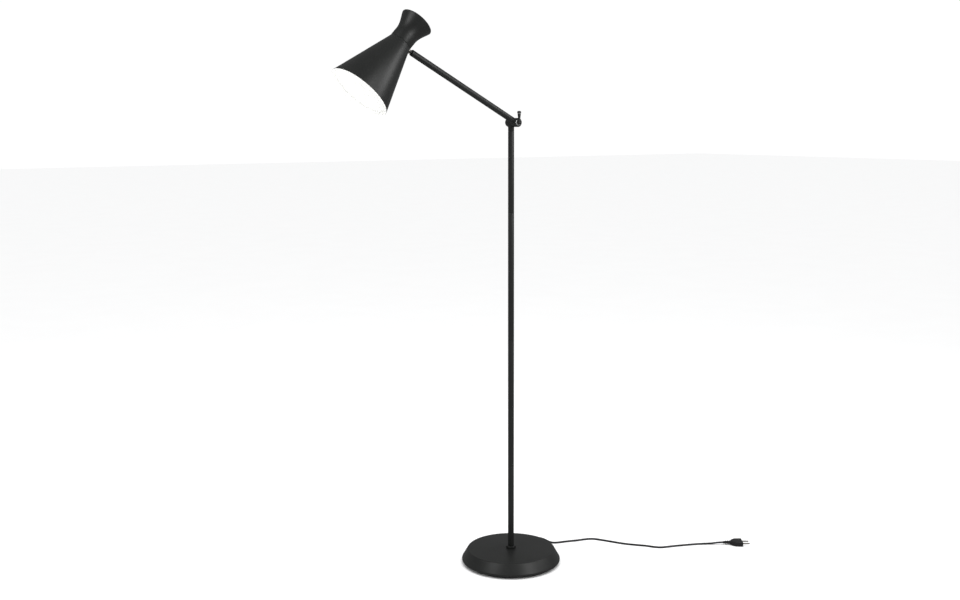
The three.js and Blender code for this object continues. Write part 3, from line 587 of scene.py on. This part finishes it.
HUB_BACK = CLUTCH_FRONT - 0.7
HUB_FRONT = HUB_BACK - 5.2
LEVER = CLUTCH @ shift(0, (HUB_BACK + HUB_FRONT) / 2, 0) @ Matrix.Diagonal((1, 0.8, 1, 1))
hub = turned("thumb_lever", [
    (0.6, HUB_FRONT - 1.4), (2.5, HUB_FRONT - 1.1, 1), (4.6, HUB_FRONT + 0.6, 1), (5.6, HUB_BACK - 1, 0.5),
    (5.6, HUB_BACK, 0.2)], 64)
settle(hub, CLUTCH @ ALONG_Y)
stem = settle(turned("stem", [
    (3.2, 0), (3.3, 8, 3), (3.4, 12, 4), (4.5, 20, 6), (4.6, 23.3, 0.3), (4.3, 23.5)], 48), LEVER)
combine(hub, "UNION", stem)
screw_room = settle(bar("tool", SCREW_R + GAP, HUB_FRONT + 1.6, HUB_BACK + 1), CLUTCH @ ALONG_Y)
combine(hub, "DIFFERENCE", screw_room)
finish(smooth(hub), POWDER, "lever", "black_coat", "clamp_lever")

tip = turned("thumb_lever_tip", [
    (5, 23.8), (5.4, 24.1, 0.2), (5.5, 26.5, 2), (5, 28.6, 1.2), (3.6, 29.6, 1.5), (1, 30)], 48)
finish(smooth(settle(tip, LEVER)), NYLON, "lever", "black_nylon", "lever_tip")

# ---------------------------------------- arm
tube = settle(turned("arm_long_tube", [
    (TUBE_BORE, -ARM_END), (TUBE_R, -ARM_END, 0.35), (TUBE_R, -4), (TUBE_BORE, -4),
], 64, closed=True), ARM @ ALONG_X)
combine(tube, "DIFFERENCE", settle(bar("tool", CLUTCH_R + GAP, ARM_Y - 12, ARM_Y + 12, 80), CLUTCH @ ALONG_Y))
finish(smooth(tube), POWDER, "arm", "black_coat", "arm_tube")

tongue_low, tongue_high = -GAP - KNUCKLE_T, -GAP
end = settle(bar("arm_end_lug", PLUG_R, -ARM_END, -ARM_END + 20), ALONG_X)
lug = settle(bar("lug", KNUCKLE_R, tongue_low, tongue_high), shift(-PIVOT_S, 0, 0) @ ALONG_Y)
combine(lug, "UNION", block("web", -PIVOT_S, -ARM_END + 0.5, tongue_low, tongue_high, -4.6, 4.6))
soften(lug, 0.4)
combine(end, "UNION", lug)
wire_way = settle(bar("tool", WIRE_R - 1, -ARM_END - 0.5, -ARM_END + 21, 32), shift(0, 3, 0) @ ALONG_X)
combine(end, "DIFFERENCE", wire_way,
        settle(bar("tool", KNUCKLE_R + GAP, 0, 8), shift(-PIVOT_S, 0, 0) @ ALONG_Y),
        settle(bar("tool", 2.1, -8, 2, 32), shift(-PIVOT_S, 0, 0) @ ALONG_Y))
finish(smooth(settle(end, ARM)), POWDER, "arm", "black_coat", "arm_tip")

screw = turned("shade_pivot_screw", [
    (2, -7.2), (2.9, -7.1, 0.4), (3.7, -6.1, 0.5),
    (3.7, tongue_low - GAP, 0.2), (1.8, tongue_low - GAP), (1.8, 8)], 40)
settle(screw, ALONG_Y)
combine(screw, "DIFFERENCE", block("slot", -4, 4, -8, -6.5, -0.4, 0.4))
finish(smooth(settle(screw, ARM @ shift(-PIVOT_S, 0, 0))), POWDER, "arm", "black_coat", "pivot_screw")

# ---------------------------------------- shade
slope = (CONE_R - SEAM_R) / CONE_L
hem_top = -CONE_L + HEM
hem_r = SEAM_R - hem_top * slope


def rivet_holes(piece):
    for x, y in around(3, RIVET_CIRCLE, 60):
        combine(piece, "DIFFERENCE", settle(bar("tool", RIVET_HOLE_R, -3, 4, 16), shift(x, y, 0)))


cone = turned("shade_cone_spun", [
    (hem_r - 2.6, hem_top, 0.5), (CONE_R - 2.6, -CONE_L, 1.1),
    (CONE_R, -CONE_L, 1.1), (SEAM_R, -GAP / 2, 0.6),
    (FLANGE_R, -GAP / 2), (FLANGE_R, -GAP / 2 - SHEET), (SEAM_R - SHEET, -GAP / 2 - SHEET, 0.5),
    (hem_r - SHEET, hem_top)], 192, closed=True)
rivet_holes(cone)


def bezier(p0, p1, p2, p3, steps):
    points = []
    for k in range(steps + 1):
        t = k / steps
        points.append([
            (1 - t) ** 3 * a + 3 * (1 - t) ** 2 * t * b + 3 * (1 - t) * t ** 2 * c + t ** 3 * d
            for a, b, c, d in zip(p0, p1, p2, p3)])
    return points


flare = bezier((SEAM_R, 24), (SEAM_R, 41), (36.5, 53), (NECK_TOP_R - 0.6, NECK_L - 2), 18)
neck = turned("shade_neck_spun", [
    (FLANGE_R, GAP / 2), (SEAM_R, GAP / 2, 0.6), *flare,
    (NECK_TOP_R, NECK_L, 0.8), (NECK_TOP_R - 2.6, NECK_L, 0.8),
    *([r - SHEET, z + 0.15] for r, z in reversed(flare[:-1])), (SEAM_R - SHEET, GAP / 2 + SHEET, 0.5),
    (FLANGE_R, GAP / 2 + SHEET)], 160, closed=True)
rivet_holes(neck)
stud_hole = settle(bar("tool", STUD_HOLE_R, SEAM_R - 6, SEAM_R + 6, 32), shift(0, 0, PIVOT_UP) @ ALONG_X)
combine(neck, "DIFFERENCE", stud_hole,
        block("notch", FLANGE_R - 1, SEAM_R - SHEET - 0.4, -8, 8, -1, 1 + SHEET))


def coat_inside(piece, material):
    """Paints the faces that look at the axis, and the whole hem, before the piece is put in its place."""
    piece.data.materials.append(material)
    for face in piece.data.polygons:
        radius = face.center.to_2d().length
        out = face.center.x * face.normal.x + face.center.y * face.normal.y
        seam = face.normal.z < -0.9 and face.center.z < 0 and radius < SEAM_R * MM
        wall = SEAM_R * MM - face.center.z * slope
        hem = face.center.z < (hem_top + 0.1) * MM and radius < wall - 0.8 * MM
        if out < -1e-4 * radius or seam or hem:
            face.material_index = 1


finish(smooth(cone), POWDER_SHADE, "shade", "shade_coat", "shade_cone")
coat_inside(cone, ENAMEL)
settle(cone, SHADE)
finish(smooth(neck), POWDER_SHADE, "shade", "shade_coat", "shade_neck")
coat_inside(neck, ENAMEL)
settle(neck, SHADE)

lid = turned("neck_lid", [
    (37.4, NECK_L - 5), (37.8, NECK_L - 4.8),
    (NECK_TOP_R - 3.6, NECK_L - 1.5, 0.3), (NECK_TOP_R - 4.8, NECK_L - 1.4, 0.3),
    (36.8, NECK_L - 3.8, 0.8), (14, NECK_L - 3.8), (13.4, NECK_L - 3.5, 0.5), (2, NECK_L - 3.5)], 128)
finish(smooth(settle(lid, SHADE)), POWDER_SHADE, "shade", "shade_coat", "neck_cap")

COLLAR_X = SEAM_R + GAP - PIVOT_OUT
eye = settle(bar("shade_swivel_stud", KNUCKLE_R, GAP, GAP + KNUCKLE_T), ALONG_Y)
combine(eye, "UNION", block("web", COLLAR_X, 0, GAP, GAP + KNUCKLE_T, -3.8, 3.8))
soften(eye, 0.4)
collar = settle(turned("collar", [
    (2.5, 22.8 - PIVOT_OUT), (2.5, COLLAR_X), (5, COLLAR_X, 0.2), (5.2, 0.6 - KNUCKLE_R, 0.3)], 48), ALONG_X)
combine(collar, "DIFFERENCE", settle(bar("tool", KNUCKLE_R + GAP, -8, GAP), ALONG_Y))
combine(eye, "UNION", collar)
combine(eye, "DIFFERENCE", settle(bar("tool", 2.1, -2, 8, 32), ALONG_Y))
settle(eye, SHADE @ shift(PIVOT_OUT, 0, PIVOT_UP))
finish(smooth(eye), NICKEL, "shade", "steel_nickel", "shade_stud")

# ---------------------------------------- lampholder and bulb
BRACKET_Z = 46
holder_top = turned("lampholder_dome", [
    (19, 27), (19, 33, 3), (12, BRACKET_Z - GAP, 3), (5.3, BRACKET_Z - GAP),
    (5.3, 40), (11.5, 40, 2), (16.6, 32),
    (16.6, 27)], 72, closed=True)
finish(smooth(settle(holder_top, SHADE)), HOLDER, "shade", "white_plastic", "holder_cap")
holder = turned("lampholder_skirt", [
    (14, -8), (19.4, -8, 1), (19.4, -5.5, 0.4), (18.7, -5.2, 0.3),
    (18.7, -3.2, 0.3), (19.4, -2.9, 0.4), (19.4, 2, 0.5),
    (18.4, 4, 0.5), (19, 26.7), (15.9, 26.7), (15.9, 20), (14, 20)], 72, closed=True)
finish(smooth(settle(holder, SHADE)), HOLDER, "shade", "white_plastic", "holder_body")
stem = turned("bulb_housing", [
    (27.5, -36), (27.6, -34, 0.6), (26, -24, 6), (16, -10, 6), (13.5, -8.3, 0.5), (13.2, -4.3)], 72)
finish(smooth(settle(stem, SHADE)), HOLDER, "shade", "white_plastic", "bulb_body")
globe = turned("bulb_diffuser", [
    (0.5, -78), (14, -77, 16), (26.5, -66, 16), (30, -50, 16), (27.5, -36.3)], 72)
finish(smooth(settle(globe, SHADE)), OPAL, "shade", "opal_plastic", "bulb_globe")

# ---------------------------------------- finishes of the solids that stay as they are
plated = [f"plate_screw_{i}" for i in (1, 2, 3)] + [f"seam_rivet_{i}" for i in (1, 2, 3)]
plated += [f"post_coupler_{i}" for i in (1, 2, 3)]
plated += ["bottom_plate", "root_stud", "root_nut", "root_washer", "foot_bush", "clamp_nut", "clamp_screw",
           "spring_washer", "stud_nut", "holder_bracket", "nipple_nut", "bulb_cap"]
kept = {name: ZINC for name in plated}
kept.update({
    "counterweight": IRON, "friction_ring": NYLON, "pivot_nut": POWDER, "holder_nipple": BRASS,
    "contact_block": CERAMIC, "hank_tie_near": RUBBER, "hank_tie_far": RUBBER, "plug_pin_1": NICKEL,
    "plug_pin_2": NICKEL})
for name, material in kept.items():
    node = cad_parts[name]
    node.data.materials.clear()
    node.data.materials.append(material)
    smooth(node, 30)


# ---------------------------------------- studio
def studio():
    """A pale floor and backdrop, an even overhead light, three softboxes and a low light into the shade.

    The floor and the low light are left out of reflections, and the backdrop is dimmer to the lamp than to
    the observer, so that the black coat keeps its depth.
    """
    deselect()
    bpy.ops.mesh.primitive_plane_add(size=60, location=(0, 0, 0))
    floor = bpy.context.object
    floor.name = "studio_floor"
    floor.data.materials.append(surface(
        "matt_white_floor", "fdfdfd", "fcfcfc", 0.9, 0.02, 3, 0.01, drift=300, specular=0.1))
    floor.visible_glossy = False
    world = bpy.data.worlds.new("studio")
    world.use_nodes = True
    tree = world.node_tree
    tree.nodes.clear()
    seen = add(tree, "LightPath").outputs["Is Camera Ray"]
    room = add(tree, "Background", values={"Color": (0.98, 0.99, 1, 1), "Strength": 0.22})
    pale = add(tree, "Background", values={"Color": (1, 1, 1, 1), "Strength": 1.02})
    both = add(tree, "MixShader", {0: seen, 1: room.outputs[0], 2: pale.outputs[0]})
    add(tree, "OutputWorld", {"Surface": both.outputs[0]})
    bpy.context.scene.world = world
    bpy.context.scene.view_settings.view_transform = "Standard"
    above = bpy.data.objects.new("overhead", bpy.data.lights.new("overhead", "SUN"))
    above.data.energy = 2.45
    above.data.angle = 70 * DEG
    above.visible_glossy = False
    bpy.context.scene.collection.objects.link(above)
    lamps = [
        ("left_softbox", (-2.6, -0.3, 2.4), (0, 0, 0.8), (1.0, 1.5), 17),
        ("right_softbox", (0.6, -2.55, 2.1), (0, 0, 0.8), (1.0, 2.2), 26),
        ("side_softbox", (1.8, -1.2, 2.0), (-0.2, 0, 1.3), (0.7, 1.2), 13),
        ("low_fill", (-2.5, -1.5, 0.5), (-0.43, 0, 1.3), (1.2, 0.8), 19),
    ]
    for name, spot, target, size, power in lamps:
        light = bpy.data.objects.new(name, bpy.data.lights.new(name, "AREA"))
        light.data.shape = "RECTANGLE"
        light.data.size, light.data.size_y = size
        light.data.energy = power
        light.visible_glossy = name != "low_fill"
        away = Vector(target) - Vector(spot)
        light.matrix_world = Matrix.Translation(spot) @ away.to_track_quat("-Z", "Y").to_matrix().to_4x4()
        bpy.context.scene.collection.objects.link(light)


studio()
